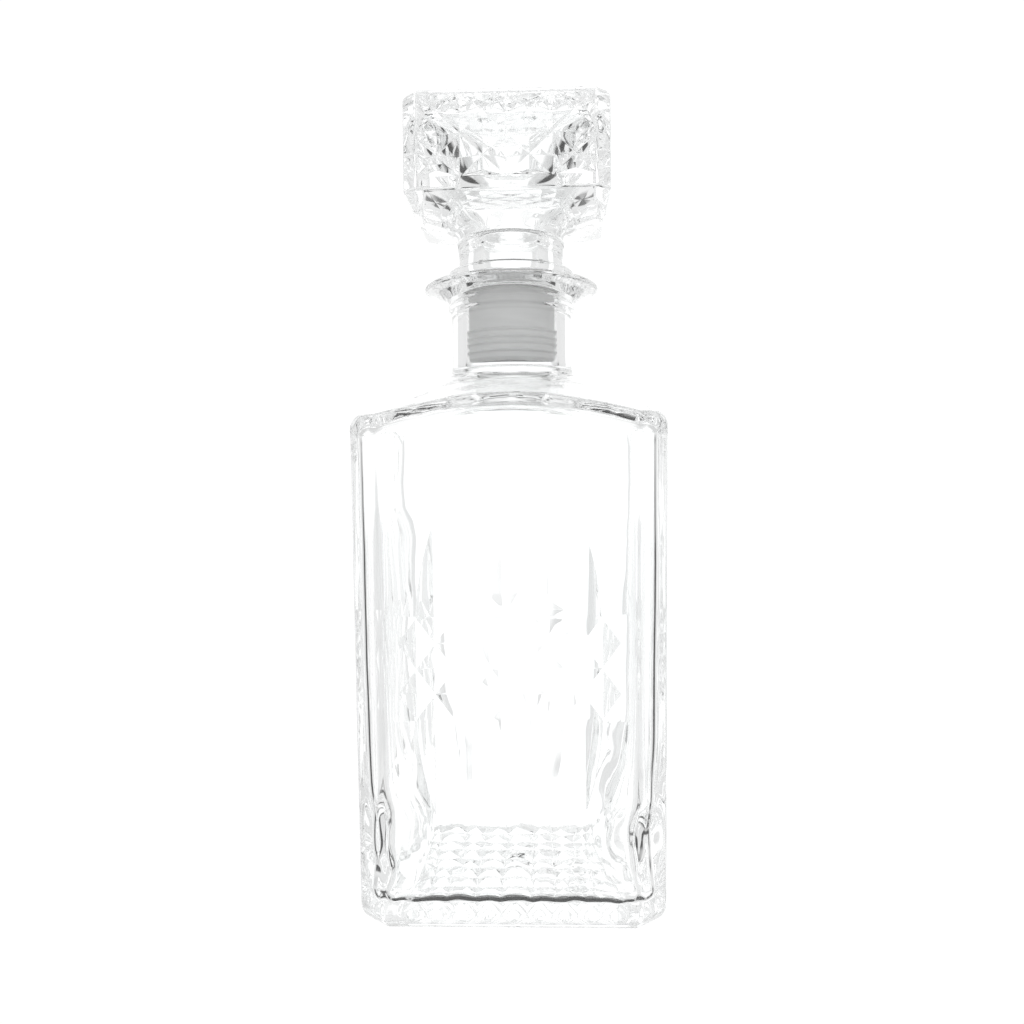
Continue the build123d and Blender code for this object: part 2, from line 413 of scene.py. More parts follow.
def hollow_half(z):
    t = (z - floor_z) / (178.0 - floor_z)
    return (half_at(floor_z) - wall_base) * (1 - t) + (half_at(178.0) - wall_top) * t


def ring3(xy, z):
    z = np.broadcast_to(np.asarray(z, float), (len(xy),))
    return np.column_stack([xy, z])


def round_edge(A, B, C, w, n):
    """Conic arc from A to C with its corner at B (arrays of points)."""
    out = []
    for k in range(n + 1):
        s = k / n
        d = (1 - s) ** 2 + 2 * s * (1 - s) * w + s * s
        out.append(((1 - s) ** 2 * A + 2 * s * (1 - s) * w * B + s * s * C) / d)
    return out


# ================================================================== bottle
NF, NR, NC = 56, 6, 6
Q = NF + 2 * NR + NC
N = 4 * Q


def wall_loop(h, cut=corner_cut, rc=corner_soft):
    return outline(h, cut, rc, NF, NR, NC)


body = Shell()

# underside: rim, heel
b0 = wall_loop(36.9, 6.2, 3.0)
L_under = body.add(ring3(b0, 0.0))
loops = []
prev = L_under
insets = [heel * (1 - math.sin(math.radians(a))) for a in (0, 11, 22, 34, 45, 56, 68, 79, 90)]
heights = [heel * (1 - math.cos(math.radians(a))) for a in (0, 11, 22, 34, 45, 56, 68, 79, 90)]
for d, z in zip(insets, heights):
    xy = wall_loop(half_at(z) - d, corner_cut - 0.5858 * d * 0.9, max(0.6, corner_soft - d * 0.55))
    cur = body.add(ring3(xy, z))
    body.strip(prev, cur)
    prev = cur
# wall up to the band panel, through it, and on to the shoulder
z_a, z_b = 31.0, 124.0
rows = list(np.linspace(heel, z_a, 10))[1:] + list(np.linspace(z_a, z_b, 40))[1:] + list(np.linspace(z_b, 142.0, 8))[1:]
flat_cols = np.array([(i % Q) < NF for i in range(N)])
panel_rings = {}
for z in rows:
    cur = body.add(ring3(wall_loop(half_at(z)), z))
    in_panel = z_a < z <= z_b + 1e-6
    body.strip(prev, cur, skip=flat_cols if in_panel else None)
    if z_a - 1e-6 <= z <= z_b + 1e-6:
        panel_rings[round(float(z), 4)] = cur
    prev = cur

band = Cuts(soft=0.10)
for k in range(-5, 6):
    x = k * pitch
    if k % 2:
        for y in (-half_dia, half_dia):
            band.pit([(x, y - half_dia), (x + pitch, y), (x, y + half_dia), (x - pitch, y)], (x, y), 1.75)
    else:
        band.pit([(x, -half_dia), (x + pitch, 0), (x, half_dia), (x - pitch, 0)], (x, 0), 1.75)
        for s in (-1, 1):
            band.lance(x, s * half_dia, s, pitch, 7.3, 28.4, 1.75)

zs = sorted(panel_rings)
for face in range(4):
    ang = math.pi / 2 * face
    ux, uy = math.cos(ang), math.sin(ang)
    ox, oy = math.sin(ang), -math.cos(ang)
    cd, sd = math.cos(math.radians(draft)), math.sin(math.radians(draft))
    i0, i1 = face * Q, face * Q + NF
    loop, uv = [], []

    def local(idx, z):
        p = body.points()[idx]
        return (p[0] * ux + p[1] * uy, z - band_z)

    allp = body.points()

    def put(idx, z):
        p = allp[idx]
        loop.append(idx)
        uv.append((p[0] * ux + p[1] * uy, z - band_z))

    bottom, topr = panel_rings[zs[0]], panel_rings[zs[-1]]
    for i in range(i0, i1):
        put(bottom[i], zs[0])
    for z in zs[:-1]:
        put(panel_rings[z][i1 % N], z)
    for i in range(i1, i0, -1):
        put(topr[i % N], zs[-1])
    for z in reversed(zs[1:]):
        put(panel_rings[z][i0], z)

    def place(q, d):
        z = q[:, 1] + band_z
        h = base_half + z * tan_d
        x = ux * q[:, 0] + ox * (h - d * cd)
        y = uy * q[:, 0] + oy * (h - d * cd)
        return np.column_stack([x, y, z + d * sd])

    patch(body, loop, uv, band, place)

# star-cut underside
star = Cuts(soft=0.10)
sp, sn, sdp = 7.74, 9, 2.6
for i in range(sn):
    for j in range(sn):
        x, y = (i - (sn - 1) / 2) * sp, (j - (sn - 1) / 2) * sp
        h = sp / 2
        star.pit([(x - h, y - h), (x + h, y - h), (x + h, y + h), (x - h, y + h)], (x, y), sdp)
uvl = [(p[0], -p[1]) for p in b0]
patch(body, list(L_under[::-1]), uvl[::-1], star, lambda q, d: np.column_stack([q[:, 0], -q[:, 1], d]))

# shoulder
w0 = wall_loop(half_at(153.0))
R = np.linalg.norm(w0, axis=1)
dirs = w0 / R[:, None]
ze = cone_z(R)
tw = shoulder_edge * math.tan(math.radians((90 - shoulder_slope) / 2))
wz = math.cos(math.radians((90 - shoulder_slope) / 2))
# stretch of the rounding along the radial direction
nrm = np.zeros_like(w0)
for i in range(N):
    a, b = w0[i - 1], w0[(i + 1) % N]
    t = (b - a) / np.linalg.norm(b - a)
    nrm[i] = (t[1], -t[0])
stretch = 1.0 / np.clip(np.sum(nrm * dirs, axis=1), 0.6, 1)
z_start = ze - tw
for t in (0.34, 0.67, 1.0):
    z = 142.0 + (z_start - 142.0) * t
    h = half_at(z)
    xy = w0 * (h / half_at(153.0))[:, None]
    cur = body.add(ring3(xy, z))
    body.strip(prev, cur)
    prev = cur
A = body.points()[prev]
k_in = 1.0 / math.cos(math.radians(shoulder_slope))
Bc = np.column_stack([w0, ze])
tr = tw * math.cos(math.radians(shoulder_slope)) * stretch
rC = R - tr
Cc = np.column_stack([dirs * rC[:, None], cone_z(rC)])
for pts in round_edge(A, Bc, Cc, wz, 8)[1:]:
    cur = body.add(pts)
    body.strip(prev, cur)
    prev = cur
r_fl = 27.0
for t in np.linspace(0, 1, 12)[1:]:
    r = rC + (r_fl - rC) * t
    cur = body.add(np.column_stack([dirs * r[:, None], cone_z(r)]))
    body.strip(prev, cur)
    prev = cur

# neck, bead, flange, lip and bore, all turned
neck_r, bore_r = 20.0, 15.0
prof = rounded(
    [(27.0, cone_z(27.0)), (neck_r, cone_z(neck_r)), (neck_r, 187.5), (21.0, 188.4), (21.0, 189.8), (20.3, 190.6),
     (21.6, 191.9), (25.1, 194.0), (28.1, 194.8), (28.7, 195.3), (28.7, 195.9), (28.0, 196.6), (26.3, 196.9),
     (16.6, 196.9), (bore_r, 195.1), (bore_r, 163.1)],
    [0, 7.0, 0.5, 0.7, 0.7, 0.5, 0.8, 2.0, 0.6, 0.4, 0.5, 0.5, 0.8, 1.6, 1.6, 0], 7)
# finer straight runs
fine = [prof[0]]
for a, b in zip(prof[:-1], prof[1:]):
    n = max(1, int(np.linalg.norm(b - a) / 2.5))
    for k in range(1, n + 1):
        fine.append(a + (b - a) * k / n)
for r, z in fine[1:]:
    cur = body.add(ring3(dirs * r, z))
    body.strip(prev, cur)
    prev = cur

# inside: roof of the hollow, wall, floor
INNER = 1
hi0 = outline(hollow_half(148.0), 0.62 * 7.0, 7.0, NF, NR, NC)
Ri = np.linalg.norm(hi0, axis=1)
di = hi0 / Ri[:, None]


def roof_z(r):
    return cone_z(r) - roof_drop


edge_i = 4.0
zi = roof_z(Ri)
ti = edge_i * math.tan(math.radians((90 - shoulder_slope) / 2))
nri = np.zeros_like(hi0)
for i in range(N):
    a, b = hi0[i - 1], hi0[(i + 1) % N]
    t = (b - a) / np.linalg.norm(b - a)
    nri[i] = (t[1], -t[0])
sti = 1.0 / np.clip(np.sum(nri * di, axis=1), 0.6, 1)
rCi = Ri - ti * math.cos(math.radians(shoulder_slope)) * sti
# throat rounding between the bore and the roof
zc = roof_z(15.0)
th = round_edge(np.column_stack([dirs * bore_r, np.full(N, 163.1)]),
                np.column_stack([dirs * bore_r, np.full(N, zc)]),
                np.column_stack([di * 22.0, np.full(N, roof_z(22.0))]), 0.8, 8)
for pts in th[1:]:
    cur = body.add(pts, INNER)
    body.strip(prev, cur)
    prev = cur
for t in np.linspace(0, 1, 12)[1:]:
    r = 22.0 + (rCi - 22.0) * t
    cur = body.add(np.column_stack([di * r[:, None], roof_z(r)]), INNER)
    body.strip(prev, cur)
    prev = cur
Ai = np.column_stack([di * rCi[:, None], roof_z(rCi)])
Bi = np.column_stack([hi0, zi])
Ci = np.column_stack([hi0 * (hollow_half(148.0) / hollow_half(148.0)), zi - ti])
for pts in round_edge(Ai, Bi, Ci, wz, 8)[1:]:
    cur = body.add(pts, INNER)
    body.strip(prev, cur)
    prev = cur
z_lo = floor_z + 5.0
for t in np.linspace(0, 1, 90)[1:]:
    z = (zi - ti) + (z_lo - (zi - ti)) * t
    h = hollow_half(z) / hollow_half(148.0)
    cur = body.add(ring3(hi0 * h[:, None], z), INNER)
    body.strip(prev, cur)
    prev = cur
h_lo = hollow_half(z_lo)
for a in (11, 22, 34, 45, 56, 68, 79, 90):
    d = 5.0 * (1 - math.cos(math.radians(a)))
    z = z_lo - 5.0 * math.sin(math.radians(a))
    rc = max(2.0, 7.0 - d)
    cur = body.add(ring3(outline(h_lo - d, 0.62 * rc, rc, NF, NR, NC), z), INNER)
    body.strip(prev, cur)
    prev = cur
fl = body.points()[prev]
for t in np.linspace(0, 1, 30)[1:-1]:
    s = 1 - t
    cur = body.add(np.column_stack([fl[:, 0] * s, fl[:, 1] * s, fl[:, 2]]), INNER)
    body.strip(prev, cur)
    prev = cur
c = body.add([(0, 0, floor_z)], INNER)[0]
body.fan(c, prev, flip=True)


def body_wave(v, tag):
    x, y, z = v[:, 0], v[:, 1], v[:, 2]
    a = np.arctan2(y, x)
    w = (0.050 * np.sin(0.105 * z + 1.7 * np.sin(2 * a + 0.6) + 0.4)
         + 0.045 * np.sin(0.34 * x + 0.05 * z + 0.9) * np.cos(0.31 * y - 0.04 * z + 0.3)
         + 0.028 * np.sin(0.62 * x - 0.11 * z + 2.1) + 0.028 * np.sin(0.58 * y + 0.09 * z + 4.0)
         + 0.020 * np.sin(0.27 * z + 0.33 * x - 0.29 * y))
    # glass gathers in the four lower corners
    near = np.clip((np.minimum(np.abs(x), np.abs(y)) - 21.0) / 17.0, 0, 1)
    low = np.exp(-(np.maximum(z - 24.0 - 4.0 * np.sin(a + 0.7), 0) / 19.0) ** 2) * np.clip((z - 8.0) / 9.0, 0, 1)
    w = w + 3.6 * near ** 2 * (3 - 2 * near) * low * (1 + 0.20 * np.sin(0.33 * z + 1.2 * a))
    # the floor and the foot of the walls are uneven
    foot = np.clip((22.0 - z) / 14.0, 0, 1)
    w = w + foot * (0.22 * np.sin(0.74 * x + 0.5 * np.sin(0.30 * y + 0.6)) + 0.16 * np.sin(0.47 * y + 0.7 * np.sin(0.36 * x + 1.1))
                    + 0.08 * np.sin(1.25 * x + 0.4 * y))
    return np.where(tag == INNER, w, 0.0)


bottle = body.build("bottle_glass", body_wave)

# ================================================================= stopper
foot_low, foot_top, foot_r = 198.05, 201.4, 20.85
throat_r, head_half, head_cut, head_top, head_bevel = 17.4, 31.8, 4.2, 250.7, 2.4
shank_r, shank_bore, shank_low = 12.6, 9.2, 171.7
hh, ht = 27.4, 244.9
dia_w, dia_h, dia_row = 14.0, 13.2, 236.5
SF, SR, SC = 44, 4, 4
SQ = SF + 2 * SR + SC
SN = 4 * SQ
st = Shell()
so = outline(head_half, head_cut, 1.6, SF, SR, SC)
SRad = np.linalg.norm(so, axis=1)
sd_ = so / SRad[:, None]
under = curve([(throat_r, 206.6), (17.6, 208.6), (18.3, 211.4), (21.3, 215.1), (26.0, 217.7), (31.8, 219.2), (38.0, 219.8), (46.0, 220.1)], 200)
ur, uz = under[:, 0], under[:, 1]
us = np.concatenate([[0], np.cumsum(np.linalg.norm(np.diff(under, axis=0), axis=1))])
t_at = np.interp(SRad, ur, us)

# shank bore mouth, shank, foot ring, throat
prof = rounded(
    [(shank_bore, 174.1), (shank_bore, shank_low), (shank_r, shank_low), (shank_r, foot_low), (foot_r, foot_low),
     (foot_r, foot_top), (throat_r, foot_top + 0.3), (throat_r, 206.6)],
    [0, 1.0, 1.0, 0.5, 1.0, 1.3, 1.2, 0], 5)
fine = [prof[0]]
for a, b in zip(prof[:-1], prof[1:]):
    n = max(1, int(np.linalg.norm(b - a) / 2.0))
    for k in range(1, n + 1):
        fine.append(a + (b - a) * k / n)
prev = first = st.add(ring3(sd_ * fine[0][0], fine[0][1]))
for r, z in fine[1:]:
    cur = st.add(ring3(sd_ * r, z))
    st.strip(prev, cur)
    prev = cur
# trumpet underside out to the head's faces
edge_r = 1.0
t_end = t_at - edge_r
for k in range(1, 25):
    s = t_end * k / 24
    r, z = np.interp(s, us, ur), np.interp(s, us, uz)
    cur = st.add(np.column_stack([sd_ * r[:, None], z]))
    st.strip(prev, cur)
    prev = cur
A = st.points()[prev]
zB = np.interp(t_at, us, uz)
Bc = np.column_stack([so, zB])
Cc = np.column_stack([so, zB + edge_r])
for pts in round_edge(A, Bc, Cc, 0.8, 5)[1:]:
    cur = st.add(pts)
    st.strip(prev, cur)
    prev = cur
# side walls
z_hi = head_top - head_bevel
M = 16
s_flat = np.array([(i % SQ) < SF for i in range(SN)])
side_rings = [prev]
zlow = zB + edge_r
for k in range(1, M + 1):
    z = zlow + (z_hi - zlow) * k / M
    cur = st.add(ring3(so, z))
    st.strip(prev, cur, skip=s_flat)
    side_rings.append(cur)
    prev = cur

tl = 1.6 * T22
flat = head_half - head_cut - tl - 0.1
sides = Cuts(soft=0.10)
dw, dh = dia_w / 2, dia_h / 2


def clip_poly(pts, xmax):
    out = []
    n = len(pts)
    for i in range(n):
        a, b = np.array(pts[i], float), np.array(pts[(i + 1) % n], float)
        ia, ib = abs(a[0]) <= xmax, abs(b[0]) <= xmax
        if ia:
            out.append(tuple(a))
        if ia != ib:
            xs = math.copysign(xmax, a[0] if not ia else b[0])
            t = (xs - a[0]) / (b[0] - a[0])
            out.append(tuple(a + (b - a) * t))
    return out


for z, odd in ((dia_row, True), (dia_row + dh, False), (dia_row - dh, False)):
    y = z - dia_row
    for x in ((-21, -7, 7, 21) if odd else (-14, 0, 14)):
        p = [(x, y - dh), (x + dw, y), (x, y + dh), (x - dw, y)]
        sides.pit(clip_poly(p, flat), (x, y), 1.9)
    if not odd:
        for s in (-1, 1):
            e = dh * (flat - 21) / dw
            p = [(s * 21, y), (s * flat, y - e), (s * flat, y + e)]
            if s < 0:
                p = [p[0], p[2], p[1]]
            sides.pit(p, (s * (flat - 2.4), y), 1.2)
top_y = z_hi - dia_row - 0.2
for x in (-21, -7, 7, 21):
    lo = dh
    hw = (top_y - lo) / dh * dw
    p = [(x, lo), (min(x + hw, flat), top_y), (max(x - hw, -flat), top_y)]
    sides.pit(p, (x, lo + 0.66 * (top_y - lo)), 1.0)
    hi = -dh
    yb = -2 * dh + 0.4
    hw = (hi - yb) / dh * dw
    p = [(x, hi), (max(x - hw, -flat), yb), (min(x + hw, flat), yb)]
    sides.pit(p, (x, yb + 0.34 * (hi - yb)), 1.25)

allp = st.points()
for face in range(4):
    ang = math.pi / 2 * face
    ux, uy = math.cos(ang), math.sin(ang)
    ox, oy = math.sin(ang), -math.cos(ang)
    i0, i1 = face * SQ, face * SQ + SF
    loop, uv = [], []

    def put(idx):
        p = allp[idx]
        loop.append(idx)
        uv.append((p[0] * ux + p[1] * uy, p[2] - dia_row))

    for i in range(i0, i1):
        put(side_rings[0][i])
    for k in range(M):
        put(side_rings[k][i1 % SN])
    for i in range(i1, i0, -1):
        put(side_rings[M][i % SN])
    for k in range(M, 0, -1):
        put(side_rings[k][i0])

    def place(q, d):
        return np.column_stack([ux * q[:, 0] + ox * (head_half - d), uy * q[:, 0] + oy * (head_half - d), q[:, 1] + dia_row])

    patch(st, loop, uv, sides, place)

# top bevel and crown
nb = 4
for k in range(1, nb + 1):
    t = k / nb
    a = t * math.pi / 2
    d = head_bevel * (1 - math.cos(a)) * 0.55 + head_bevel * t * 0.45
    z = z_hi + head_bevel * math.sin(a) * 0.55 + head_bevel * t * 0.45
    cur = st.add(ring3(outline(head_half - d, head_cut - 0.5 * d, max(0.5, 1.6 - 0.3 * d), SF, SR, SC), z))
    st.strip(prev, cur)
    prev = cur
crown = Cuts(soft=0.10)
lim = head_half - head_bevel - 1.2
for i in range(-4, 5):
    for j in range(-4, 5):
        if (i + j) % 2 == 0 and abs(i) <= 3 and abs(j) <= 3:
            x, y = 7 * i, 7 * j
            crown.pit([(x, y - 7), (x + 7, y), (x, y + 7), (x - 7, y)], (x, y), 1.9)
cp = st.points()[prev]
patch(st, list(prev), [(p[0], p[1]) for p in cp], crown, lambda q, d: np.column_stack([q[:, 0], q[:, 1], head_top - d]))

# hollow: from the shank bore up through the bell into the square head
prev = first
for z in np.linspace(174.1, 211.9, 20)[1:]:
    cur = st.add(ring3(sd_ * shank_bore, z), INNER)
    st.strip(cur, prev)
    prev = cur
step = rounded([(shank_bore, 211.9), (shank_bore, 213.1), (12.8, 213.5), (12.8, 215.6)], [0, 0.9, 1.2, 0], 4)
for r, z in step[1:]:
    cur = st.add(ring3(sd_ * r, z), INNER)
    st.strip(cur, prev)
    prev = cur
si = outline(hh, 0.62 * 5.0, 5.0, SF, SR, SC)
SRi = np.linalg.norm(si, axis=1)
sdi = si / SRi[:, None]
bell = curve([(12.8, 215.6), (13.5, 218.2), (15.3, 220.6), (20.2, 225.6), (26.9, 233.9), (30.6, 238.6), (34.0, 241.0), (38.0, 242.2), (44.0, 243.0)], 200)
br, bz = bell[:, 0], bell[:, 1]
bs = np.concatenate([[0], np.cumsum(np.linalg.norm(np.diff(bell, axis=0), axis=1))])
bt = np.interp(SRi, br, bs)
for k in range(1, 25):
    s = (bt - 1.5) * k / 24
    r, z = np.interp(s, bs, br), np.interp(s, bs, bz)
    dd = sd_ + (sdi - sd_) * (k / 24)
    dd /= np.linalg.norm(dd, axis=1)[:, None]
    cur = st.add(np.column_stack([dd * r[:, None], z]), INNER)
    st.strip(cur, prev)
    prev = cur
A = st.points()[prev]
zB = np.interp(bt, bs, bz)
for pts in round_edge(A, np.column_stack([si, zB]), np.column_stack([si, zB + 1.6]), 0.85, 5)[1:]:
    cur = st.add(pts, INNER)
    st.strip(cur, prev)
    prev = cur
zl = zB + 1.6
rt = 2.2
for k in range(1, 13):
    cur = st.add(ring3(si, zl + (ht - rt - zl) * k / 12), INNER)
    st.strip(cur, prev)
    prev = cur
for a in (15, 30, 45, 60, 75, 90):
    d = rt * (1 - math.cos(math.radians(a)))
    z = ht - rt + rt * math.sin(math.radians(a))
    rc = max(2.0, 5.0 - d)
    cur = st.add(ring3(outline(hh - d, 0.62 * rc, rc, SF, SR, SC), z), INNER)
    st.strip(cur, prev)
    prev = cur
fl = st.points()[prev]
for t in np.linspace(0, 1, 20)[1:-1]:
    s = 1 - t
    cur = st.add(np.column_stack([fl[:, 0] * s, fl[:, 1] * s, fl[:, 2]]), INNER)
    st.strip(cur, prev)
    prev = cur
c = st.add([(0, 0, ht)], INNER)[0]
st.fan(c, prev)


def head_wave(v, tag):
    x, y, z = v[:, 0], v[:, 1], v[:, 2]
    w = (0.05 * np.sin(0.33 * x + 0.21 * z + 1.0) + 0.05 * np.sin(0.29 * y - 0.25 * z + 2.0)
         + 0.03 * np.sin(0.55 * x + 0.5 * y + 0.3 * z))
    k = np.clip((z - 215) / 12, 0, 1)
    return np.where(tag == INNER, w * k, 0.0)


head = st.build("stopper_glass", head_wave)

# ================================================================== sleeve
seal = Shell()
SLN = 160
an = np.linspace(0, 2 * math.pi, SLN, endpoint=False)
cs = np.column_stack([np.cos(an), np.sin(an)])
pp = [(12.65, 171.55), (10.6, 171.55), (10.6, 170.6), (13.2, 170.6), (14.1, 171.7)]
rr = [0, 0.2, 0.2, 0.5, 0.5]
for z in (173.8, 176.3, 178.2, 180.5):
    pp += [(14.1, z - 0.55), (14.95, z - 0.12), (14.95, z + 0.12), (14.1, z + 0.75)]
    rr += [0.15, 0.1, 0.1, 0.2]
pp += [(14.35, 196.95), (17.9, 196.95), (18.2, 197.25), (18.2, 197.7), (17.9, 198.0), (12.65, 198.0), (12.65, 171.55)]
rr += [0.2, 0.15, 0.15, 0.15, 0.15, 0.6, 0]
prof = rounded(pp, rr, 3)
fine = [prof[0]]
for a, b in zip(prof[:-1], prof[1:]):
    n = max(1, int(np.linalg.norm(b - a) / 2.0))
    for k in range(1, n + 1):
        fine.append(a + (b - a) * k / n)
seam = 0.06 * (np.exp(-((an - math.radians(262)) / 0.012) ** 2) + np.exp(-((an - math.radians(82)) / 0.012) ** 2))
prev = f0 = seal.add(ring3(cs * fine[0][0], fine[0][1]))
for r, z in fine[1:-1]:
    rad = r + (seam if 14.0 < r < 14.6 else 0)
    cur = seal.add(ring3(cs * (np.broadcast_to(rad, (SLN,)))[:, None], z))
    seal.strip(prev, cur)
    prev = cur
seal.strip(prev, f0)
sleeve = seal.build("stopper_sleeve")

# =============================================================== materials


def grain(nt, stretch, scale, detail, rough=0.5, twist=0.0):
    """Noise in the piece's own coordinates, stretched along its axes."""
    tc = nt.nodes.new("ShaderNodeTexCoord")
    mp = nt.nodes.new("ShaderNodeMapping")
    mp.inputs["Scale"].default_value = stretch
    nt.links.new(tc.outputs["Object"], mp.inputs["Vector"])
    nz = nt.nodes.new("ShaderNodeTexNoise")
    nz.inputs["Scale"].default_value = scale
    nz.inputs["Detail"].default_value = detail
    nz.inputs["Roughness"].default_value = rough
    nz.inputs["Distortion"].default_value = twist
    nt.links.new(mp.outputs["Vector"], nz.inputs["Vector"])
    return nz.outputs[0]


def span(nt, v, lo, hi, a=0.3, b=0.7):
    n = nt.nodes.new("ShaderNodeMapRange")
    nt.links.new(v, n.inputs["Value"])
    n.inputs["From Min"].default_value = a
    n.inputs["From Max"].default_value = b
    n.inputs["To Min"].default_value = lo
    n.inputs["To Max"].default_value = hi
    return n.outputs[0]


def blend(nt, v, c0, c1, a=0.35, b=0.65):
    r = nt.nodes.new("ShaderNodeValToRGB")
    r.color_ramp.elements[0].position = a
    r.color_ramp.elements[0].color = c0
    r.color_ramp.elements[1].position = b
    r.color_ramp.elements[1].color = c1
    nt.links.new(v, r.inputs[0])
    return r.outputs[0]


def bump(nt, v, distance, strength=1.0, under=None):
    n = nt.nodes.new("ShaderNodeBump")
    n.inputs["Strength"].default_value = strength
    n.inputs["Distance"].default_value = distance
    nt.links.new(v, n.inputs["Height"])
    if under is not None:
        nt.links.new(under, n.inputs["Normal"])
    return n.outputs[0]


def glass(name, c0, c1, cord, cord_height, ripple_height):
    """Fire-polished soda glass: faint cords along the height, a slow ripple, a trace of wear in the polish."""
    m = bpy.data.materials.new(name)
    m.use_nodes = True
    nt = m.node_tree
    for n in list(nt.nodes):
        nt.nodes.remove(n)
    out = nt.nodes.new("ShaderNodeOutputMaterial")
    b = nt.nodes.new("ShaderNodeBsdfPrincipled")
    b.inputs["IOR"].default_value = 1.52
    b.inputs["Transmission Weight"].default_value = 1.0
    nt.links.new(blend(nt, grain(nt, (1, 1, 0.5), 34.0, 3.0), c0, c1), b.inputs["Base Color"])
    nt.links.new(span(nt, grain(nt, (1, 1, 1), 160.0, 5.0, 0.6), 0.0, 0.022, 0.46, 0.72), b.inputs["Roughness"])
    n1 = bump(nt, grain(nt, cord, 60.0, 2.0, 0.45, 0.6), cord_height)
    n2 = bump(nt, grain(nt, (1, 1, 1), 95.0, 1.0), ripple_height, 1.0, n1)
    nt.links.new(n2, b.inputs["Normal"])
    nt.links.new(b.outputs[0], out.inputs["Surface"])
    return m


def plastic(name):
    """Natural polyethylene: milky, satin, with flow marks round the sleeve and fine speckle."""
    m = bpy.data.materials.new(name)
    m.use_nodes = True
    nt = m.node_tree
    b = nt.nodes["Principled BSDF"]
    flow = grain(nt, (1, 1, 5.0), 120.0, 4.0, 0.55, 0.3)
    speck = grain(nt, (1, 1, 1), 1400.0, 2.0, 0.6)
    nt.links.new(blend(nt, flow, (0.91, 0.91, 0.905, 1), (0.96, 0.96, 0.955, 1)), b.inputs["Base Color"])
    nt.links.new(span(nt, speck, 0.34, 0.52), b.inputs["Roughness"])
    nt.links.new(bump(nt, speck, 0.00002, 0.6, bump(nt, flow, 0.00006, 0.8)), b.inputs["Normal"])
    b.inputs["IOR"].default_value = 1.5
    return m


bottle.data.materials.append(glass("clear_bottle_glass", (0.975, 0.985, 0.985, 1), (0.992, 0.995, 0.995, 1),
                                   (1, 1, 0.10), 0.00016, 0.00005))
head.data.materials.append(glass("clear_stopper_glass", (0.975, 0.985, 0.985, 1), (0.992, 0.995, 0.995, 1),
                                 (1, 1, 0.6), 0.00004, 0.00004))
sleeve.data.materials.append(plastic("sleeve_plastic"))

for piece, nodes, bodyname, sl in ((bottle, ("decanter_body", "decanter_neck"), "decanter", "bottle_glass"),
                                  (head, ("stopper",), "stopper", "stopper_glass"),
                                  (sleeve, ("stopper_seal",), "sleeve", "sleeve_plastic")):
    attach(piece, bodyname)
    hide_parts(*nodes)

# =================================================================== stage
def math_node(op, a, b=None, c=None):
    n = nt.nodes.new("ShaderNodeMath")
    n.operation = op
    for k, v in enumerate((a, b, c)):
        if v is None:
            continue
        if isinstance(v, (int, float)):
            n.inputs[k].default_value = v
        else:
            nt.links.new(v, n.inputs[k])
    return n.outputs[0]


W_ROUND = ((0, 1.25), (20, 1.25), (25, 0.79), (45, 0.80), (120, 0.90), (150, 1.05), (185, 1.05))
W_SIDE = ((0, 0), (57, 0), (61, 1), (74, 1), (80, 0), (185, 0))
W_LOW = ((-90, 0), (-56, 0), (-42, 1), (-5, 1), (7, 0), (90, 0))
W_SIDE_LOW = ((0, 0), (56, 0), (62, 1), (92, 1), (104, 0), (185, 0))
W_LOW_LOW = ((-90, 0), (-58, 0), (-49, 1), (-39, 1), (-34, 0), (90, 0))
W_OVER = ((-90, 0.05), (-63, 0.05), (-55, 0.95), (19, 1.0), (27, 0.84), (48, 0.84), (60, 1.2), (90, 1.2))
W_DARK = 0.93
me = bpy.data.meshes.new("floor")
s = 3.0
me.from_pydata([(-s, -s, 0), (s, -s, 0), (s, s, 0), (-s, s, 0)], [], [(0, 1, 2, 3)])
me.update()
floor = bpy.data.objects.new("floor", me)
bpy.context.scene.collection.objects.link(floor)
fm = bpy.data.materials.new("pale_floor")
fm.use_nodes = True
nt = fm.node_tree
for n in list(nt.nodes):
    nt.nodes.remove(n)
out = nt.nodes.new("ShaderNodeOutputMaterial")
em = nt.nodes.new("ShaderNodeEmission")
em.inputs["Color"].default_value = (1, 1, 1, 1)
em.inputs["Strength"].default_value = 1.05
# a pale sheet that only the camera sees: light comes up through it
clear = nt.nodes.new("ShaderNodeBsdfTransparent")
lp = nt.nodes.new("ShaderNodeLightPath")
mix = nt.nodes.new("ShaderNodeMixShader")
nt.links.new(lp.outputs["Is Camera Ray"], mix.inputs[0])
nt.links.new(clear.outputs[0], mix.inputs[1])
nt.links.new(em.outputs[0], mix.inputs[2])
nt.links.new(mix.outputs[0], out.inputs["Surface"])
floor.data.materials.append(fm)

world = bpy.data.worlds.new("studio")
bpy.context.scene.world = world
world.use_nodes = True
nt = world.node_tree
for n in list(nt.nodes):
    nt.nodes.remove(n)
out = nt.nodes.new("ShaderNodeOutputWorld")
bg = nt.nodes.new("ShaderNodeBackground")
bg.inputs["Color"].default_value = (1, 1, 1, 1)
nt.links.new(bg.outputs[0], out.inputs["Surface"])
tc = nt.nodes.new("ShaderNodeTexCoord")
sep = nt.nodes.new("ShaderNodeSeparateXYZ")
nt.links.new(tc.outputs["Generated"], sep.inputs[0])


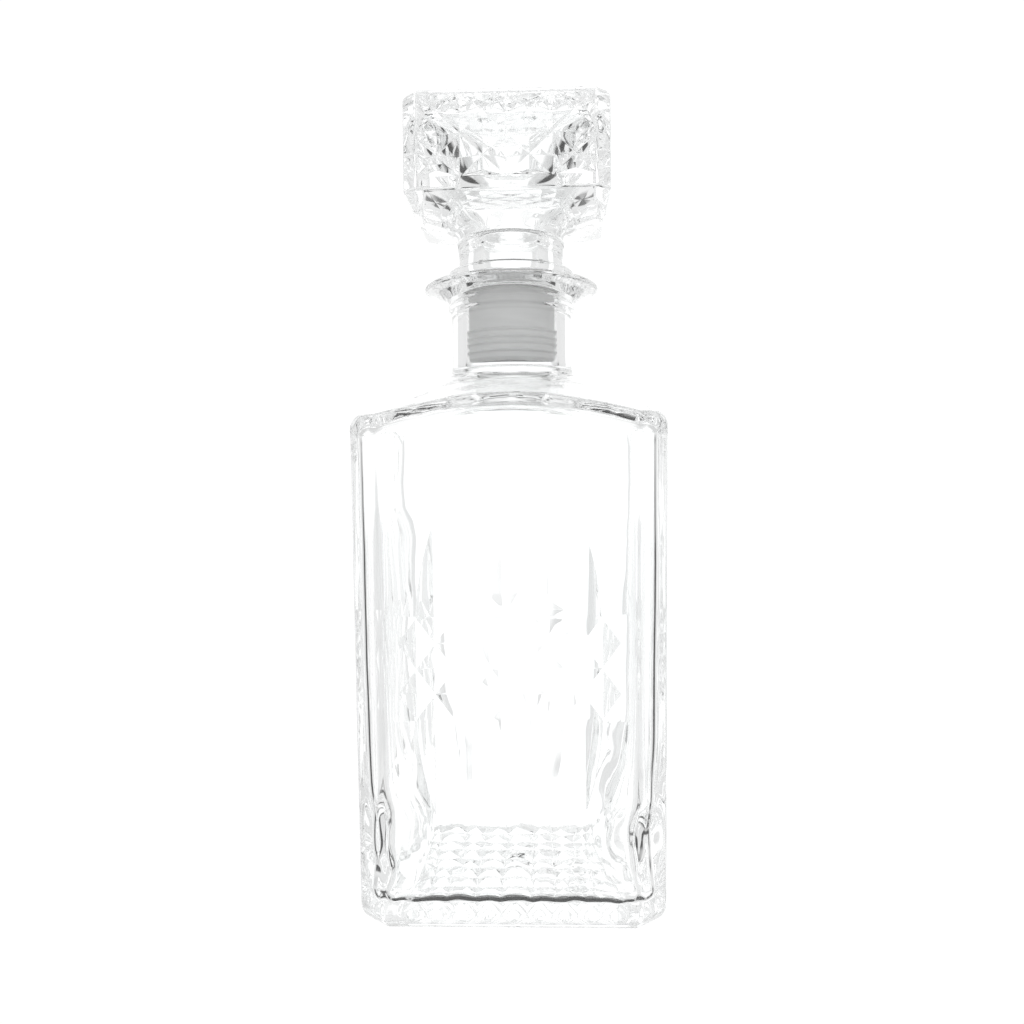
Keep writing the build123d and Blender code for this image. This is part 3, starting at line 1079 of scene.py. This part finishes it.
def ramp(v, stops):
    """Straight-line interpolation through (value, result) stops."""
    lo, hi = stops[0][0], stops[-1][0]
    n = nt.nodes.new("ShaderNodeMapRange")
    nt.links.new(v, n.inputs["Value"])
    n.inputs["From Min"].default_value = lo
    n.inputs["From Max"].default_value = hi
    r = nt.nodes.new("ShaderNodeValToRGB")
    nt.links.new(n.outputs[0], r.inputs[0])
    els = r.color_ramp.elements
    while len(els) > 1:
        els.remove(els[-1])
    for k, (x, y) in enumerate(stops):
        e = els[0] if k == 0 else els.new((x - lo) / (hi - lo))
        e.position = (x - lo) / (hi - lo)
        e.color = (y / 2, y / 2, y / 2, 1)
    return math_node("MULTIPLY", r.outputs[0], 2.0)


# white sweep behind, dark screens at both sides, pale room in front, pale top
flat = math_node("SQRT", math_node("ADD", math_node("MULTIPLY", sep.outputs["X"], sep.outputs["X"]),
                                   math_node("MULTIPLY", sep.outputs["Y"], sep.outputs["Y"])))
az = math_node("ABSOLUTE", math_node("ADD", math_node("MULTIPLY", math_node("ARCTAN2", sep.outputs["X"], sep.outputs["Y"]),
                                                      180 / math.pi), 2.2))
el = math_node("MULTIPLY", math_node("ARCTAN2", sep.outputs["Z"], flat), 180 / math.pi)
screen = math_node("MULTIPLY", math_node("MAXIMUM", math_node("MULTIPLY", ramp(az, W_SIDE), ramp(el, W_LOW)),
                                          math_node("MULTIPLY", ramp(az, W_SIDE_LOW), ramp(el, W_LOW_LOW))), W_DARK)
room = math_node("MULTIPLY", math_node("MULTIPLY", ramp(az, W_ROUND), ramp(el, W_OVER)),
                 math_node("SUBTRACT", 1.0, screen))
lp = nt.nodes.new("ShaderNodeLightPath")
seen = math_node("ADD", math_node("MULTIPLY", room, math_node("SUBTRACT", 1.0, lp.outputs["Is Camera Ray"])),
                 math_node("MULTIPLY", lp.outputs["Is Camera Ray"], 1.05))
nt.links.new(seen, bg.inputs["Strength"])

# camera
cam = bpy.data.cameras.new("camera")
cam.sensor_width = 36.0
cam.lens = 36.0 * 967.0 / 1024
co = bpy.data.objects.new("camera", cam)
bpy.context.scene.collection.objects.link(co)
co.location = (0.01217, -0.32315, 0.12492)
yaw, pitch_down, roll = math.radians(2.245), math.radians(0.516), math.radians(-0.589)
co.rotation_euler = (Matrix.Rotation(yaw, 4, "Z") @ Matrix.Rotation(math.pi / 2 - pitch_down, 4, "X")
                     @ Matrix.Rotation(roll, 4, "Z")).to_euler()
cam.clip_start = 0.01
bpy.context.scene.camera = co

sc = bpy.context.scene
sc.view_settings.view_transform = "Standard"
sc.view_settings.look = "None"
sc.cycles.max_bounces = 200
sc.cycles.transmission_bounces = 200
sc.cycles.glossy_bounces = 200
sc.cycles.transparent_max_bounces = 16
sc.cycles.caustics_refractive = True
sc.cycles.caustics_reflective = True
